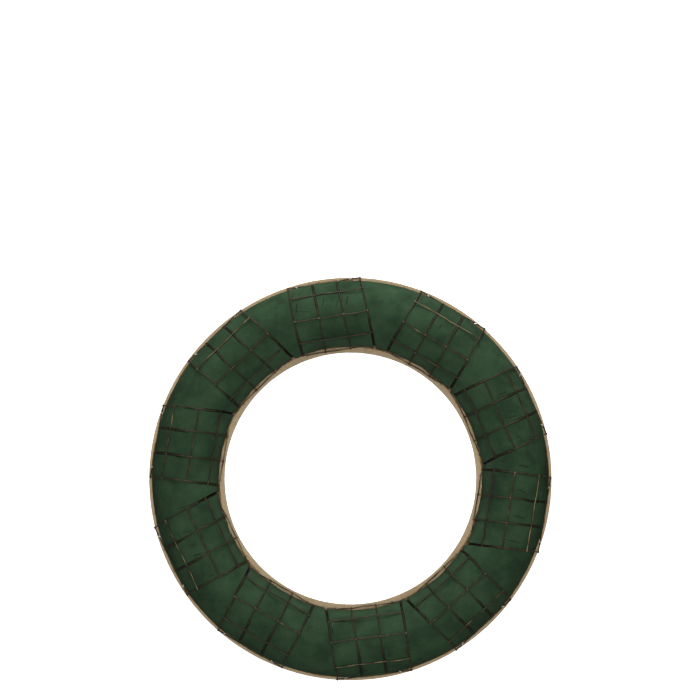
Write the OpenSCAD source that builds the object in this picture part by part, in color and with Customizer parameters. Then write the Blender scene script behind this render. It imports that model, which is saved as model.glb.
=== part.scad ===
// Wreath frame: a ring of floral foam glued to a ring of wood-fibre board and
// held down by straps of welded wire mesh, which are stapled to the board.
// The origin is the centre of the hole, on the underside of the board.
// +Z points up out of the foam.

/* [Base board] */
// Outer diameter of the board
board_od = 400; // [320:5:480]
// Diameter of the hole in the middle
board_id = 250; // [200:5:300]
// Thickness of the board
board_t = 5; // [4:0.5:12]

/* [Foam ring] */
// Bare board left outside the foam
ledge_out = 3; // [2:0.5:6]
// Bare board left inside the foam
ledge_in = 5.5; // [4:0.5:9]
// Height of the foam
foam_h = 30; // [24:1:33]
// Thickness of the glue under the foam
glue_t = 0.3; // [0.1:0.1:0.4]
// How far the glue stays back from the foam's outer edge
glue_back_out = 5; // [4:0.5:15]
// How far the glue stays back from the mesh's inner corners
glue_back_in = 0.25; // [0.1:0.05:10]

/* [Mesh straps] */
// Number of straps round the ring
strap_count = 10; // [3:1:10]
// Direction of the first strap, in degrees from +X
first_strap = 24; // [0:1:90]
// Degrees by which each strap was laid off its even place
strap_drift = [-1, -1.5, 1, 0.5, 0, 0, -2, 0, -0.5, 0.5];
// Degrees by which each strap's arches lean away from the radius
strap_lean = [2, 2, 5, 5, 5, 5, 5, 3, 3, 5];
// Share of that lean which the rails across the arches follow
rail_follow = 0.4; // [0:0.1:0.5]
// Diameter of the mesh wire
wire_d = 1.2; // [0.8:0.1:1.6]
// Distance between neighbouring wires of the mesh
mesh_pitch = 25; // [18:0.5:26]
// Wires that arch over the foam in each strap
arch_count = 4; // [2:1:4]
// Wires that run along the ring in each strap
rail_count = 5; // [3:1:7]
// Shift of the middle rails towards the hole, along the arch
rail_shift = 2.5; // [0:0.5:5]
// Set-back of the outermost rail from the board's outer edge
rail_set_out = 4; // [3.5:0.5:8]
// Set-back of the innermost rail from the edge of the hole
rail_set_in = 2.6; // [2.6:0.2:6]
// Length of wire left beyond the last welds
wire_stub = 1.2; // [0.8:0.1:1.4]
// Depth to which crossing wires melt into each other at a weld
weld_depth = 0.25; // [0.1:0.05:0.4]

/* [Staples] */
// Width over a staple's legs
staple_w = 5; // [4:0.5:7]
// Width and thickness of the staple wire
staple_wire = 0.7; // [0.4:0.1:0.9]
// Depth to which the legs go into the board
staple_bite = 4; // [2:0.5:4.5]
// Distance of the outer staples from the outermost arches
staple_from_arch = 10; // [6:0.5:12]
// Distance of the inner staples from the middle of the strap
inner_staple_x = 30; // [26:1:32]

/* [Fits] */
// Gap between the mesh and the board below it
gap_board = 0.1; // [0.05:0.05:0.3]
// Gap between the arches and the crown of the foam
gap_crown = 0.1; // [0.1:0.05:0.5]
// Gap round a wire where it is pressed into the foam
gap_kerf = 0.1; // [0.05:0.05:0.3]
// Gap between a staple and the wire that it holds
gap_staple = 0.1; // [0.05:0.05:0.2]
// Gap round a staple's leg in the board
gap_leg = 0.05; // [0.02:0.01:0.1]

/* [Hidden] */
$fn = 96;

board_ro = board_od / 2;
board_ri = board_id / 2;
wire_r = wire_d / 2;
over = 1; // how far a cutting solid runs past what it cuts

// The foam's section is a segment of a circle that stands on the glue.
foam_ro = board_ro - ledge_out;
foam_ri = board_ri + ledge_in;
foam_mid = (foam_ro + foam_ri) / 2;
foam_half = (foam_ro - foam_ri) / 2;
foam_base = board_t + glue_t;
foam_r = (foam_half * foam_half + foam_h * foam_h) / (2 * foam_h);
foam_z = foam_base + foam_h - foam_r;

// The rails lie on a circle round the arches' own, one weld further out. The foot rails set
// that circle's width: the arches turn outwards round them and end flat on the board.
bend_r = wire_d - weld_depth;
foot_z = board_t + gap_board + wire_r;
foot_out = board_ro - rail_set_out;
foot_in = board_ri + rail_set_in;
strap_y = (foot_out + foot_in) / 2;
strap_half = (foot_out - foot_in) / 2;
crown_z = foam_base + foam_h + gap_crown + wire_r;
arch_rise = crown_z - foot_z;
rail_r = (strap_half * strap_half + arch_rise * arch_rise) / (2 * arch_rise);
arch_r = rail_r - bend_r;
arch_z = crown_z - arch_r;
foot_angle = asin((foot_z + bend_r - arch_z) / rail_r);
rail_step = (180 - 2 * foot_angle) / (rail_count - 1);
rail_slip = rail_shift / rail_r * 180 / PI;
strap_w = (arch_count - 1) * mesh_pitch;

// Farthest that an end of an inner rail reaches from the middle of the ring
function corner_r(lean, end) = wire_r + norm([
    strap_half * sin(lean) + end * cos(rail_follow * lean),
    strap_y - strap_half * cos(lean) + end * sin(rail_follow * lean)
]);
rail_end = strap_w / 2 + wire_stub;
corner_max = max([for (lean = strap_lean, side = [-1, 1]) corner_r(lean, side * rail_end)]);
glue_ri = max(foam_ri, corner_max) + glue_back_in;
glue_ro = foam_ro - glue_back_out;

// Angle of rail j round the arches, and place of arch i along the rails
function is_foot(j) = j == 0 || j == rail_count - 1;
function rail_angle(j) = foot_angle + j * rail_step + (is_foot(j) ? 0 : rail_slip);
function arch_x(i) = (i - (arch_count - 1) / 2) * mesh_pitch;

// A rail within this angle of the crown lies on the arches, clear of the foam. Elsewhere the
// foam reaches the middle of an outer rail and, as the ring curves, the ends of an inner one.
crown_angle = 15;

// A crown slants across its rail by the angle at which both legs just clear the wire.
leg_reach = (staple_w - staple_wire) / 2;
leg_corner = staple_wire / sqrt(2);
leg_off = wire_r + gap_staple + leg_corner;
staple_slant = asin(leg_off / leg_reach);
staple_top = foot_z + bend_r + wire_r + gap_staple + staple_wire;
outer_staple_x = strap_w / 2 - staple_from_arch;
inner_staple_max = strap_w / 2 - wire_r - gap_staple - staple_w / 2;
kerf_w = wire_d + 2 * gap_kerf;
notch_in = leg_off + leg_corner + gap_kerf;
notch_top = staple_top + gap_kerf;

// Name of the copy with number i, with two digits
function numbered(stem, i) = str(stem, i < 10 ? "0" : "", i);

// Moves its children from a strap's own frame, whose origin is below the middle of the
// arches and whose +Y points outwards, to the place of strap s.
module at_strap(s) {
    rotate([0, 0, first_strap + 360 / strap_count * s + strap_drift[s] - 90])
        translate([0, strap_y, 0])
            children();
}

// Moves its children from the plane X = 0 to the plane of arch i of strap s.
module at_arch(s, i) {
    turn = rail_follow * strap_lean[s];
    translate(arch_x(i) * [cos(turn), sin(turn), 0])
        rotate([0, 0, strap_lean[s]])
            children();
}

// Moves its children from the X axis to the axis of rail j of strap s. There +Z points
// away from the middle of the arch, and rail 0 is the outermost.
module at_rail(s, j) {
    lean = strap_lean[s];
    out = rail_r * cos(rail_angle(j));
    translate([-out * sin(lean), out * cos(lean), arch_z + rail_r * sin(rail_angle(j))])
        rotate([0, 0, rail_follow * lean])
            rotate([rail_angle(j) - 90, 0, 0])
                children();
}

// A stretch of wire bent round the origin, from one angle to another
module bent_wire(r, from, to) {
    rotate([0, 0, from])
        rotate_extrude(angle = to - from)
            translate([r, 0])
                circle(r = wire_r);
}

// One wire across the ring: the arc, and at each foot a bend and a flat end
module arch() {
    translate([0, 0, arch_z])
        rotate([90, 0, 90])
            bent_wire(arch_r, foot_angle, 180 - foot_angle);
    for (side = [0, 1])
        mirror([0, side, 0])
            translate([0, strap_half, foot_z + bend_r]) {
                rotate([90, 0, 90])
                    bent_wire(bend_r, 180 + foot_angle, 270);
                translate([0, 0, -bend_r])
                    rotate([-90, 0, 0])
                        cylinder(r = wire_r, h = wire_stub);
            }
}

// One wire along the ring
module rail() {
    rotate([0, 90, 0])
        cylinder(r = wire_r, h = 2 * rail_end, center = true);
}

// Kerf that an arch has pressed into the foam: all that lies beyond the wire's inner side
module arch_kerf() {
    floor_r = arch_r - wire_r - gap_kerf;
    translate([0, 0, arch_z])
        rotate([0, 90, 0])
            difference() {
                cylinder(r = arch_r + foam_h / 2, h = kerf_w, center = true);
                cylinder(r = floor_r, h = kerf_w + 2 * over, center = true);
            }
}

// Kerf that a middle rail has pressed into the foam
module rail_kerf() {
    translate([-rail_end - gap_kerf, -kerf_w / 2, -wire_r - gap_kerf])
        cube([2 * (rail_end + gap_kerf), kerf_w, foam_h / 2]);
}

// Notch crushed into the foot of the foam along a foot rail, tall enough for the staples.
// side is 1 at the outer edge and -1 at the hole.
module foot_notch(s, side) {
    lean = strap_lean[s];
    translate([-side * strap_half * sin(lean), side * strap_half * cos(lean), 0])
        rotate([0, 0, rail_follow * lean])
            translate([-rail_end - gap_kerf, 0, 0])
                mirror([0, side < 0 ? 1 : 0, 0])
                    translate([0, -notch_in, board_t - over])
                        cube([
                            2 * (rail_end + gap_kerf),
                            notch_in + ledge_in + rail_set_out,
                            notch_top - board_t + over
                        ]);
}

// Place of an inner staple along its rail: even about the strap's radius, but clear of the
// outermost arch however far the strap leans
function inner_staple(lean, end) = max(-inner_staple_max, min(inner_staple_max,
    end * inner_staple_x - strap_half * sin(lean)));

// Moves its children to the middle of each staple of strap s, on top of the board.
module at_staples(s) {
    lean = strap_lean[s];
    for (side = [-1, 1], end = [-1, 1]) {
        along = side > 0 ? end * outer_staple_x : inner_staple(lean, end);
        translate([-side * strap_half * sin(lean), side * strap_half * cos(lean), 0])
            rotate([0, 0, rail_follow * lean])
                translate([along, 0, board_t])
                    rotate([0, 0, end * staple_slant])
                        children();
    }
}

// Both legs of a staple, with room round them
module legs(room) {
    for (side = [-1, 1])
        translate([side * leg_reach, 0, (staple_top - board_t - staple_bite) / 2])
            cube([
                staple_wire + 2 * room,
                staple_wire + 2 * room,
                staple_top - board_t + staple_bite + 2 * room
            ], center = true);
}

// One staple: a flat crown over the rail and two legs driven into the board
module staple() {
    translate([0, 0, staple_top - board_t - staple_wire / 2])
        cube([staple_w, staple_wire, staple_wire], center = true);
    legs(0);
}

// Ring of wood-fibre board, with the slits that the staples' legs have cut
module base_board() {
    color("tan")
        difference() {
            rotate_extrude()
                translate([board_ri, 0])
                    square([board_ro - board_ri, board_t]);
            for (s = [0:strap_count - 1])
                at_strap(s)
                    at_staples(s)
                        legs(gap_leg);
        }
}

// Film of glue between the board and the foam
module foam_glue() {
    color("goldenrod")
        rotate_extrude()
            translate([glue_ri, board_t])
                square([glue_ro - glue_ri, glue_t]);
}

// Domed ring of floral foam, pressed in where the mesh straps cross it
module foam_ring() {
    color("darkgreen")
        difference() {
            rotate_extrude()
                intersection() {
                    translate([foam_mid, foam_z])
                        circle(r = foam_r);
                    translate([foam_ri - over, foam_base])
                        square([2 * (foam_half + over), foam_h + over]);
                }
            for (s = [0:strap_count - 1])
                at_strap(s) {
                    for (i = [0:arch_count - 1])
                        at_arch(s, i)
                            arch_kerf();
                    for (j = [1:rail_count - 2])
                        if (abs(rail_angle(j) - 90) > crown_angle)
                            at_rail(s, j)
                                rail_kerf();
                    for (side = [-1, 1])
                        foot_notch(s, side);
                }
        }
}

// Strap s of welded mesh: arches over the foam, crossed by rails
module mesh_strap(s) {
    color("saddlebrown")
        at_strap(s) {
            for (i = [0:arch_count - 1])
                at_arch(s, i)
                    arch();
            for (j = [0:rail_count - 1])
                at_rail(s, j)
                    rail();
        }
}

// The four staples that hold strap s
module strap_staples(s) {
    color("silver")
        at_strap(s)
            at_staples(s)
                staple();
}

base_board();
foam_glue();
foam_ring();
for (i = [1:strap_count]) {
    mesh_strap(i - 1);
    strap_staples(i - 1);
}
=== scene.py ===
"""Looks of the wreath frame: floral foam on a fibre-board ring, under stapled straps of mesh.

Lengths in the classes are in millimetres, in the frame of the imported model: +Z out of the
crown of the foam, +Y towards the top of the ring. They turn into metres when a mesh is made.
"""

from __future__ import annotations

import logging
import math
from dataclasses import dataclass
from enum import Enum, IntEnum

import bpy
import numpy as np
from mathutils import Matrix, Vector

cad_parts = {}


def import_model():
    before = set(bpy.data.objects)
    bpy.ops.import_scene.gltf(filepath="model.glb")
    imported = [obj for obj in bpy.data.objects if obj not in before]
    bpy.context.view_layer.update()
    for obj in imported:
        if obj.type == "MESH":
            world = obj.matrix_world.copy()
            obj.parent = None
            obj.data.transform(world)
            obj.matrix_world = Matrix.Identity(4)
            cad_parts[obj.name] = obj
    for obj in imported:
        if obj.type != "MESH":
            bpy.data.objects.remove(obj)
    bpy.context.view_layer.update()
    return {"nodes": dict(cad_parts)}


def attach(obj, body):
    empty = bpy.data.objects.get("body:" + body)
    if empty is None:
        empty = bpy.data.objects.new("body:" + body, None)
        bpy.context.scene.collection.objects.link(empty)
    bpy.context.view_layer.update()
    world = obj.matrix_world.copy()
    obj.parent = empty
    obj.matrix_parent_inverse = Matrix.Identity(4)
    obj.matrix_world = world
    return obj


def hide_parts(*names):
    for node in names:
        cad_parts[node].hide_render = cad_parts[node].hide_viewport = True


LOG = logging.getLogger("wreath_frame")
MM = 0.001
TAU = 2 * math.pi

# Sockets of a node that mixes two colours, which share their names with others.
MIX_SHARE, MIX_BELOW, MIX_ABOVE, MIX_RESULT = 0, 6, 7, 2


class Seed(IntEnum):
    """Starts of the random patterns. Numbered pieces add their own number to theirs."""

    SWAY_X = 11
    SWAY_X_FINE = 12
    SWAY_Y = 13
    SWAY_Y_FINE = 14
    FOAM_WAVES = 21
    FOAM_DENTS = 22
    FOAM_DUST = 23
    CRUSHED_FOOT = 31
    SAW_CUT = 41
    OUTER_BEAD = 51
    INNER_BEAD = 61
    ARCH = 100
    RAIL = 200
    WELD = 300


class Edge(IntEnum):
    """The two edges of the ring, by the way outwards from the middle of a strap."""

    HOLE = -1
    RIM = 1


# ---------------------------------------------------------------- small tools


def to_linear(code: str) -> tuple[float, float, float, float]:
    """Turns an sRGB colour into the linear one that shaders work in.

    Args:
        code: The colour as six hex digits, with or without a leading #.

    Returns:
        Linear red, green and blue, and an alpha of 1.
    """
    parts = [int(code.lstrip("#")[i : i + 2], 16) / 255 for i in (0, 2, 4)]
    linear = [c / 12.92 if c <= 0.04045 else ((c + 0.055) / 1.055) ** 2.4 for c in parts]
    return (linear[0], linear[1], linear[2], 1.0)


def add_node(
    tree: bpy.types.NodeTree,
    kind: str,
    settings: dict[str, object] | None = None,
    values: dict[str | int, object] | None = None,
    links: dict[str | int, bpy.types.NodeSocket] | None = None,
) -> bpy.types.Node:
    """Adds one node to a tree.

    Args:
        tree: The node tree.
        kind: The node's type, such as ShaderNodeMix.
        settings: Properties of the node itself.
        values: Constants for its inputs, by name or number.
        links: Outputs of other nodes that feed its inputs, by name or number.

    Returns:
        The new node.
    """
    node = tree.nodes.new(kind)
    for key, value in (settings or {}).items():
        setattr(node, key, value)
    for key, value in (values or {}).items():
        node.inputs[key].default_value = value
    for key, output in (links or {}).items():
        tree.links.new(output, node.inputs[key])
    return node


def ease(x: np.ndarray, low: float, high: float) -> np.ndarray:
    """Rises smoothly from 0 at low to 1 at high, or falls where low is the larger.

    Args:
        x: Values.
        low: Where the result is 0.
        high: Where the result is 1.

    Returns:
        One number from 0 to 1 for each value.
    """
    t = np.clip((x - low) / (high - low), 0, 1)
    return t * t * (3 - 2 * t)


def ripple(points: np.ndarray, spacing: float, seed: int, count: int = 20) -> np.ndarray:
    """Smooth noise made of plane waves.

    Args:
        points: One point a row, in millimetres.
        spacing: Typical distance between two crests, in millimetres.
        seed: Picks the waves.
        count: How many waves are added up.

    Returns:
        One number for each point, mostly from -1 to 1.
    """
    rng = np.random.default_rng(seed)
    way = rng.normal(size=(count, points.shape[1]))
    way /= np.linalg.norm(way, axis=1)[:, None]
    way *= (TAU / spacing * rng.uniform(0.6, 1.6, count))[:, None]
    phase = rng.uniform(0, TAU, count)
    total = np.zeros(len(points))
    for k in range(count):
        total += np.sin(points @ way[k] + phase[k])
    return total / math.sqrt(count)


def settle(points: np.ndarray) -> np.ndarray:
    """Shifts points sideways a little, as hand work does, alike for whatever lies together.

    Args:
        points: One point a row, in millimetres.

    Returns:
        The shifted points. Heights stay as they are, and so does what lies on the board's
        rim, so that nothing is pushed past it.
    """
    sway, spacing = 0.34, 34
    fine_sway, fine_spacing = 0.1, 13
    held_from, loose_to = 199, 185
    moved = points.copy()
    flat = points[:, :2]
    loose = ease(np.hypot(flat[:, 0], flat[:, 1]), held_from, loose_to)
    seeds = ((Seed.SWAY_X, Seed.SWAY_X_FINE), (Seed.SWAY_Y, Seed.SWAY_Y_FINE))
    for axis, (seed, fine_seed) in enumerate(seeds):
        shift = sway * ripple(flat, spacing, seed)
        moved[:, axis] += loose * (shift + fine_sway * ripple(flat, fine_spacing, fine_seed))
    return moved


class Parts:
    """Vertices, faces and point values of one piece, gathered before they become a mesh."""

    def __init__(self) -> None:
        """Starts empty."""
        self.points: list[np.ndarray] = []
        self.faces: list[list[int]] = []
        self.values: dict[str, list[np.ndarray]] = {}
        self.count = 0

    def add(self, points: np.ndarray, faces: list[list[int]], **values: object) -> None:
        """Adds a closed shape.

        Args:
            points: One point a row, in millimetres.
            faces: Point numbers within this shape, one list a face.
            **values: A number for each point, or one number for them all, by attribute name.
        """
        self.points.append(points)
        self.faces.extend([[k + self.count for k in face] for face in faces])
        for name, value in values.items():
            self.values.setdefault(name, []).append(np.broadcast_to(value, len(points)))
        self.count += len(points)

    def build(
        self, name: str, material: bpy.types.Material, crease: float = 35
    ) -> bpy.types.Object:
        """Makes the object.

        Args:
            name: Name of the object.
            material: Its finish.
            crease: Angle in degrees past which an edge stays sharp.

        Returns:
            The object, linked to the scene.
        """
        mesh = bpy.data.meshes.new(name)
        mesh.from_pydata((np.concatenate(self.points) * MM).tolist(), [], self.faces)
        mesh.update()
        for key, chunks in self.values.items():
            layer = mesh.attributes.new(key, "FLOAT", "POINT")
            layer.data.foreach_set("value", np.concatenate(chunks).astype(np.float32))
        mesh.polygons.foreach_set("use_smooth", [True] * len(mesh.polygons))
        mesh.set_sharp_from_angle(angle=math.radians(crease))
        mesh.materials.append(material)
        piece = bpy.data.objects.new(name, mesh)
        bpy.context.scene.collection.objects.link(piece)
        return piece


def sweep(
    path: np.ndarray, side: np.ndarray, outline: np.ndarray, scale: np.ndarray
) -> tuple[np.ndarray, list[list[int]]]:
    """Carries an outline along a path and closes both ends.

    Args:
        path: Points of the path.
        side: Direction that the outline's first axis keeps all the way.
        outline: Points of the outline, two numbers each, going round once.
        scale: Size of the outline at each point of the path.

    Returns:
        The points and the faces of the closed shape.
    """
    ahead = np.gradient(path, axis=0)
    ahead /= np.linalg.norm(ahead, axis=1)[:, None]
    across = side[None, :] - (ahead @ side)[:, None] * ahead
    across /= np.linalg.norm(across, axis=1)[:, None]
    up = np.cross(ahead, across)
    rings = (
        path[:, None, :]
        + (scale[:, None] * outline[None, :, 0])[..., None] * across[:, None, :]
        + (scale[:, None] * outline[None, :, 1])[..., None] * up[:, None, :]
    )
    n, m = len(path), len(outline)
    faces = [
        [a * m + b, a * m + (b + 1) % m, (a + 1) * m + (b + 1) % m, (a + 1) * m + b]
        for a in range(n - 1)
        for b in range(m)
    ]
    faces.append(list(range(m))[::-1])
    faces.append([(n - 1) * m + b for b in range(m)])
    return rings.reshape(-1, 3), faces


def round_outline(radius: float, sides: int = 10) -> np.ndarray:
    """Points round a circle.

    Args:
        radius: Radius in millimetres.
        sides: Number of points.

    Returns:
        Two numbers a point.
    """
    angles = np.arange(sides) * TAU / sides
    return radius * np.stack([np.cos(angles), np.sin(angles)], axis=1)


def cut_ends(path: np.ndarray, radius: float) -> tuple[np.ndarray, np.ndarray]:
    """Readies a wire's path for the slightly rounded ends that a cutter leaves.

    Args:
        path: Points of the wire's middle line.
        radius: Radius of the wire.

    Returns:
        The path with a point added near each end, and the scale at each point.
    """
    bevel, narrowed = 0.3 * radius, 0.72
    first = path[0] + (path[1] - path[0]) / np.linalg.norm(path[1] - path[0]) * bevel
    last = path[-1] + (path[-2] - path[-1]) / np.linalg.norm(path[-2] - path[-1]) * bevel
    longer = np.concatenate([path[:1], [first], path[1:-1], [last], path[-1:]])
    scale = np.ones(len(longer))
    scale[[0, -1]] = narrowed
    return longer, scale


def revolve(
    profile: np.ndarray, turns: int, wobble: np.ndarray
) -> tuple[np.ndarray, list[list[int]]]:
    """Turns a closed profile round +Z.

    Args:
        profile: Radius and height of each of its points, going round once.
        turns: Number of steps round the ring.
        wobble: Radius to add, one row a step and one column a profile point.

    Returns:
        The points and the faces of the closed ring.
    """
    angles = np.arange(turns) * TAU / turns
    radii = profile[None, :, 0] + wobble
    heights = np.broadcast_to(profile[None, :, 1], radii.shape)
    cosines, sines = np.cos(angles)[:, None], np.sin(angles)[:, None]
    grid = np.stack([radii * cosines, radii * sines, heights], axis=2)
    return grid.reshape(-1, 3), torus_faces(turns, len(profile))


def torus_faces(steps: int, rows: int) -> list[list[int]]:
    """Quads of a grid that closes on itself both ways.

    Args:
        steps: Number of steps round the ring.
        rows: Number of points round the section.

    Returns:
        Four point numbers a face.
    """
    return [
        [
            a * rows + b,
            (a + 1) % steps * rows + b,
            (a + 1) % steps * rows + (b + 1) % rows,
            a * rows + (b + 1) % rows,
        ]
        for a in range(steps)
        for b in range(rows)
    ]


# ------------------------------------------------------------------- finishes


class Rise(Enum):
    """How the share of a coat that shows follows its pattern."""

    SMOOTH = "SMOOTHSTEP"
    STRAIGHT = "LINEAR"


@dataclass(frozen=True)
class Coat:
    """A colour that shows over those below it, as much as a pattern says.

    It is bare where the pattern is at none_at, and shows the most where it is at full_at.
    """

    colour: str
    pattern: bpy.types.NodeSocket
    none_at: float = 0.0
    full_at: float = 1.0
    most: float = 1.0
    rise: Rise = Rise.SMOOTH


def new_material(
    name: str,
) -> tuple[bpy.types.Material, bpy.types.NodeTree, bpy.types.NodeSocket]:
    """Makes a material with an empty node tree.

    Args:
        name: The material's name.

    Returns:
        The material, its tree and the place of the point being shaded, in metres.
    """
    material = bpy.data.materials.new(name)
    material.use_nodes = True
    tree = material.node_tree
    tree.nodes.clear()
    return material, tree, add_node(tree, "ShaderNodeTexCoord").outputs["Object"]


def lay_coats(tree: bpy.types.NodeTree, body: str, coats: list[Coat]) -> bpy.types.NodeSocket:
    """Lays coats of colour over a body colour.

    Args:
        tree: The material's node tree.
        body: The body colour.
        coats: The coats, the lowest first.

    Returns:
        The colour that is seen.
    """
    seen: dict[str | int, bpy.types.NodeSocket] = {}
    for coat in coats:
        shown = add_node(
            tree,
            "ShaderNodeMapRange",
            {"interpolation_type": coat.rise.value},
            {"From Min": coat.none_at, "From Max": coat.full_at, "To Max": coat.most},
            {"Value": coat.pattern},
        )
        mixed = add_node(
            tree,
            "ShaderNodeMix",
            {"data_type": "RGBA"},
            {MIX_BELOW: to_linear(body), MIX_ABOVE: to_linear(coat.colour)},
            {MIX_SHARE: shown.outputs["Result"], **seen},
        )
        seen = {MIX_BELOW: mixed.outputs[MIX_RESULT]}
    return seen[MIX_BELOW]


@dataclass(frozen=True)
class PhenolicFoam:
    """Green phenolic floral foam, shaped with a hot tool: dull, crumbly, with open cells.

    It throws back next to no gloss. The cells are about 0.3 mm wide and are drawn at 0.9 mm,
    because they are too fine to show otherwise.
    """

    body: str = "#2E442E"
    pale: str = "#3A523A"
    deep: str = "#233525"
    # Near-black of crushed foam together with painted shade in the grooves, slits and feet where
    # the mesh sinks in.
    pressed: str = "#12170F"
    # Grey green of the cell mottling and of the paler band at the foam's inner foot.
    dusty: str = "#445C44"
    cell: float = 0.9
    blotch: float = 26
    streak: float = 2.2
    patch: float = 60
    relief: float = 0.28
    roughness: float = 0.95
    gloss: float = 0.12

    def make(self) -> bpy.types.Material:
        """Builds the material.

        Returns:
            The material, with its shader and patterns.
        """
        material, tree, place = new_material("phenolic_floral_foam")
        cells = add_node(
            tree,
            "ShaderNodeTexNoise",
            values={"Scale": 1 / (self.cell * MM), "Detail": 3, "Roughness": 0.7},
            links={"Vector": place},
        ).outputs["Fac"]
        blotches = add_node(
            tree,
            "ShaderNodeTexNoise",
            values={"Scale": 1 / (self.blotch * MM), "Detail": 4, "Roughness": 0.6},
            links={"Vector": place},
        ).outputs["Fac"]
        drawn_out = add_node(
            tree, "ShaderNodeMapping", values={"Scale": (0.2, 1, 1)}, links={"Vector": place}
        )
        streaks = add_node(
            tree,
            "ShaderNodeTexNoise",
            values={"Scale": 1 / (self.streak * MM), "Detail": 3},
            links={"Vector": drawn_out.outputs[0]},
        ).outputs["Fac"]
        patches = add_node(
            tree,
            "ShaderNodeTexNoise",
            values={"Scale": 1 / (self.patch * MM), "Detail": 1},
            links={"Vector": place},
        ).outputs["Fac"]
        strong = add_node(
            tree,
            "ShaderNodeMapRange",
            {"interpolation_type": Rise.SMOOTH.value},
            {"From Min": 0.55, "From Max": 0.8},
            {"Value": streaks},
        )
        here = add_node(
            tree,
            "ShaderNodeMapRange",
            {"interpolation_type": Rise.SMOOTH.value},
            {"From Min": 0.5, "From Max": 0.7, "To Max": 0.5},
            {"Value": patches},
        )
        streaked = add_node(
            tree,
            "ShaderNodeMath",
            {"operation": "MULTIPLY"},
            links={0: strong.outputs["Result"], 1: here.outputs["Result"]},
        ).outputs[0]
        dust = add_node(tree, "ShaderNodeAttribute", {"attribute_name": "dust"}).outputs["Fac"]
        press = add_node(tree, "ShaderNodeAttribute", {"attribute_name": "press"}).outputs["Fac"]
        coats = [
            Coat(self.pale, blotches, 0.42, 0.75, 0.8),
            Coat(self.deep, blotches, 0.52, 0.28, 0.8),
            Coat(self.deep, streaked, rise=Rise.STRAIGHT),
            Coat(self.dusty, cells, 0.58, 0.8, 0.3),
            Coat(self.deep, cells, 0.42, 0.22, 0.4),
            # Paler, greyer green towards the inner foot of the foam.
            Coat(self.dusty, dust, rise=Rise.STRAIGHT),
            # Crushed foam and painted shade: near-black in the grooves, slits and feet.
            Coat(self.pressed, press, rise=Rise.STRAIGHT),
        ]
        faint = add_node(tree, "ShaderNodeMath", {"operation": "MULTIPLY"}, {1: 0.8}, {0: streaks})
        both = add_node(
            tree, "ShaderNodeMath", {"operation": "ADD"}, links={0: cells, 1: faint.outputs[0]}
        )
        raised = add_node(
            tree,
            "ShaderNodeBump",
            values={"Strength": 1.0, "Distance": self.relief * MM},
            links={"Height": both.outputs[0]},
        )
        shader = add_node(
            tree,
            "ShaderNodeBsdfPrincipled",
            values={"Roughness": self.roughness, "Specular IOR Level": self.gloss},
            links={"Base Color": lay_coats(tree, self.body, coats), "Normal": raised.outputs[0]},
        )
        add_node(tree, "ShaderNodeOutputMaterial", links={"Surface": shader.outputs[0]})
        return material


@dataclass(frozen=True)
class LacqueredWire:
    """Steel wire in a brown lacquer, as florists' mesh is sold: dark, a little glossy.

    A tan, partly metallic painted highlight lies along the tops of some rails and on the welds, as
    much as an attribute asks.
    """

    lacquer: str = "#2C1F11"
    ruddy: str = "#4A301B"
    # Tan of the painted highlight on the wire.
    rubbed: str = "#94845F"
    blotch: float = 5
    speck: float = 1.2
    relief: float = 0.05
    roughness: float = 0.45
    gloss: float = 0.3
    bare_metal: float = 0.55

    def make(self) -> bpy.types.Material:
        """Builds the material.

        Returns:
            The material, with its shader and patterns.
        """
        material, tree, place = new_material("brown_lacquered_steel_wire")
        patches = add_node(
            tree,
            "ShaderNodeTexNoise",
            values={"Scale": 1 / (self.blotch * MM), "Detail": 3, "Roughness": 0.65},
            links={"Vector": place},
        ).outputs["Fac"]
        specks = add_node(
            tree,
            "ShaderNodeTexNoise",
            values={"Scale": 1 / (self.speck * MM), "Detail": 2},
            links={"Vector": place},
        ).outputs["Fac"]
        # Strength of the painted highlight, carried by the mesh.
        worn = add_node(tree, "ShaderNodeAttribute", {"attribute_name": "rubbed"}).outputs["Fac"]
        faint = add_node(tree, "ShaderNodeMath", {"operation": "MULTIPLY"}, {1: 0.4}, {0: specks})
        ragged = add_node(
            tree, "ShaderNodeMath", {"operation": "ADD"}, links={0: worn, 1: faint.outputs[0]}
        )
        bare = add_node(
            tree,
            "ShaderNodeMapRange",
            {"interpolation_type": Rise.SMOOTH.value},
            {"From Min": 0.45, "From Max": 1.1},
            {"Value": ragged.outputs[0]},
        ).outputs["Result"]
        coats = [
            Coat(self.ruddy, patches, 0.45, 0.7),
            Coat(self.rubbed, bare, rise=Rise.STRAIGHT),
        ]
        metal = add_node(
            tree, "ShaderNodeMath", {"operation": "MULTIPLY"}, {1: self.bare_metal}, {0: bare}
        )
        raised = add_node(
            tree,
            "ShaderNodeBump",
            values={"Strength": 1.0, "Distance": self.relief * MM},
            links={"Height": specks},
        )
        shader = add_node(
            tree,
            "ShaderNodeBsdfPrincipled",
            values={"Roughness": self.roughness, "Specular IOR Level": self.gloss},
            links={
                "Base Color": lay_coats(tree, self.lacquer, coats),
                "Metallic": metal.outputs[0],
                "Normal": raised.outputs[0],
            },
        )
        add_node(tree, "ShaderNodeOutputMaterial", links={"Surface": shader.outputs[0]})
        return material


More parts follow.
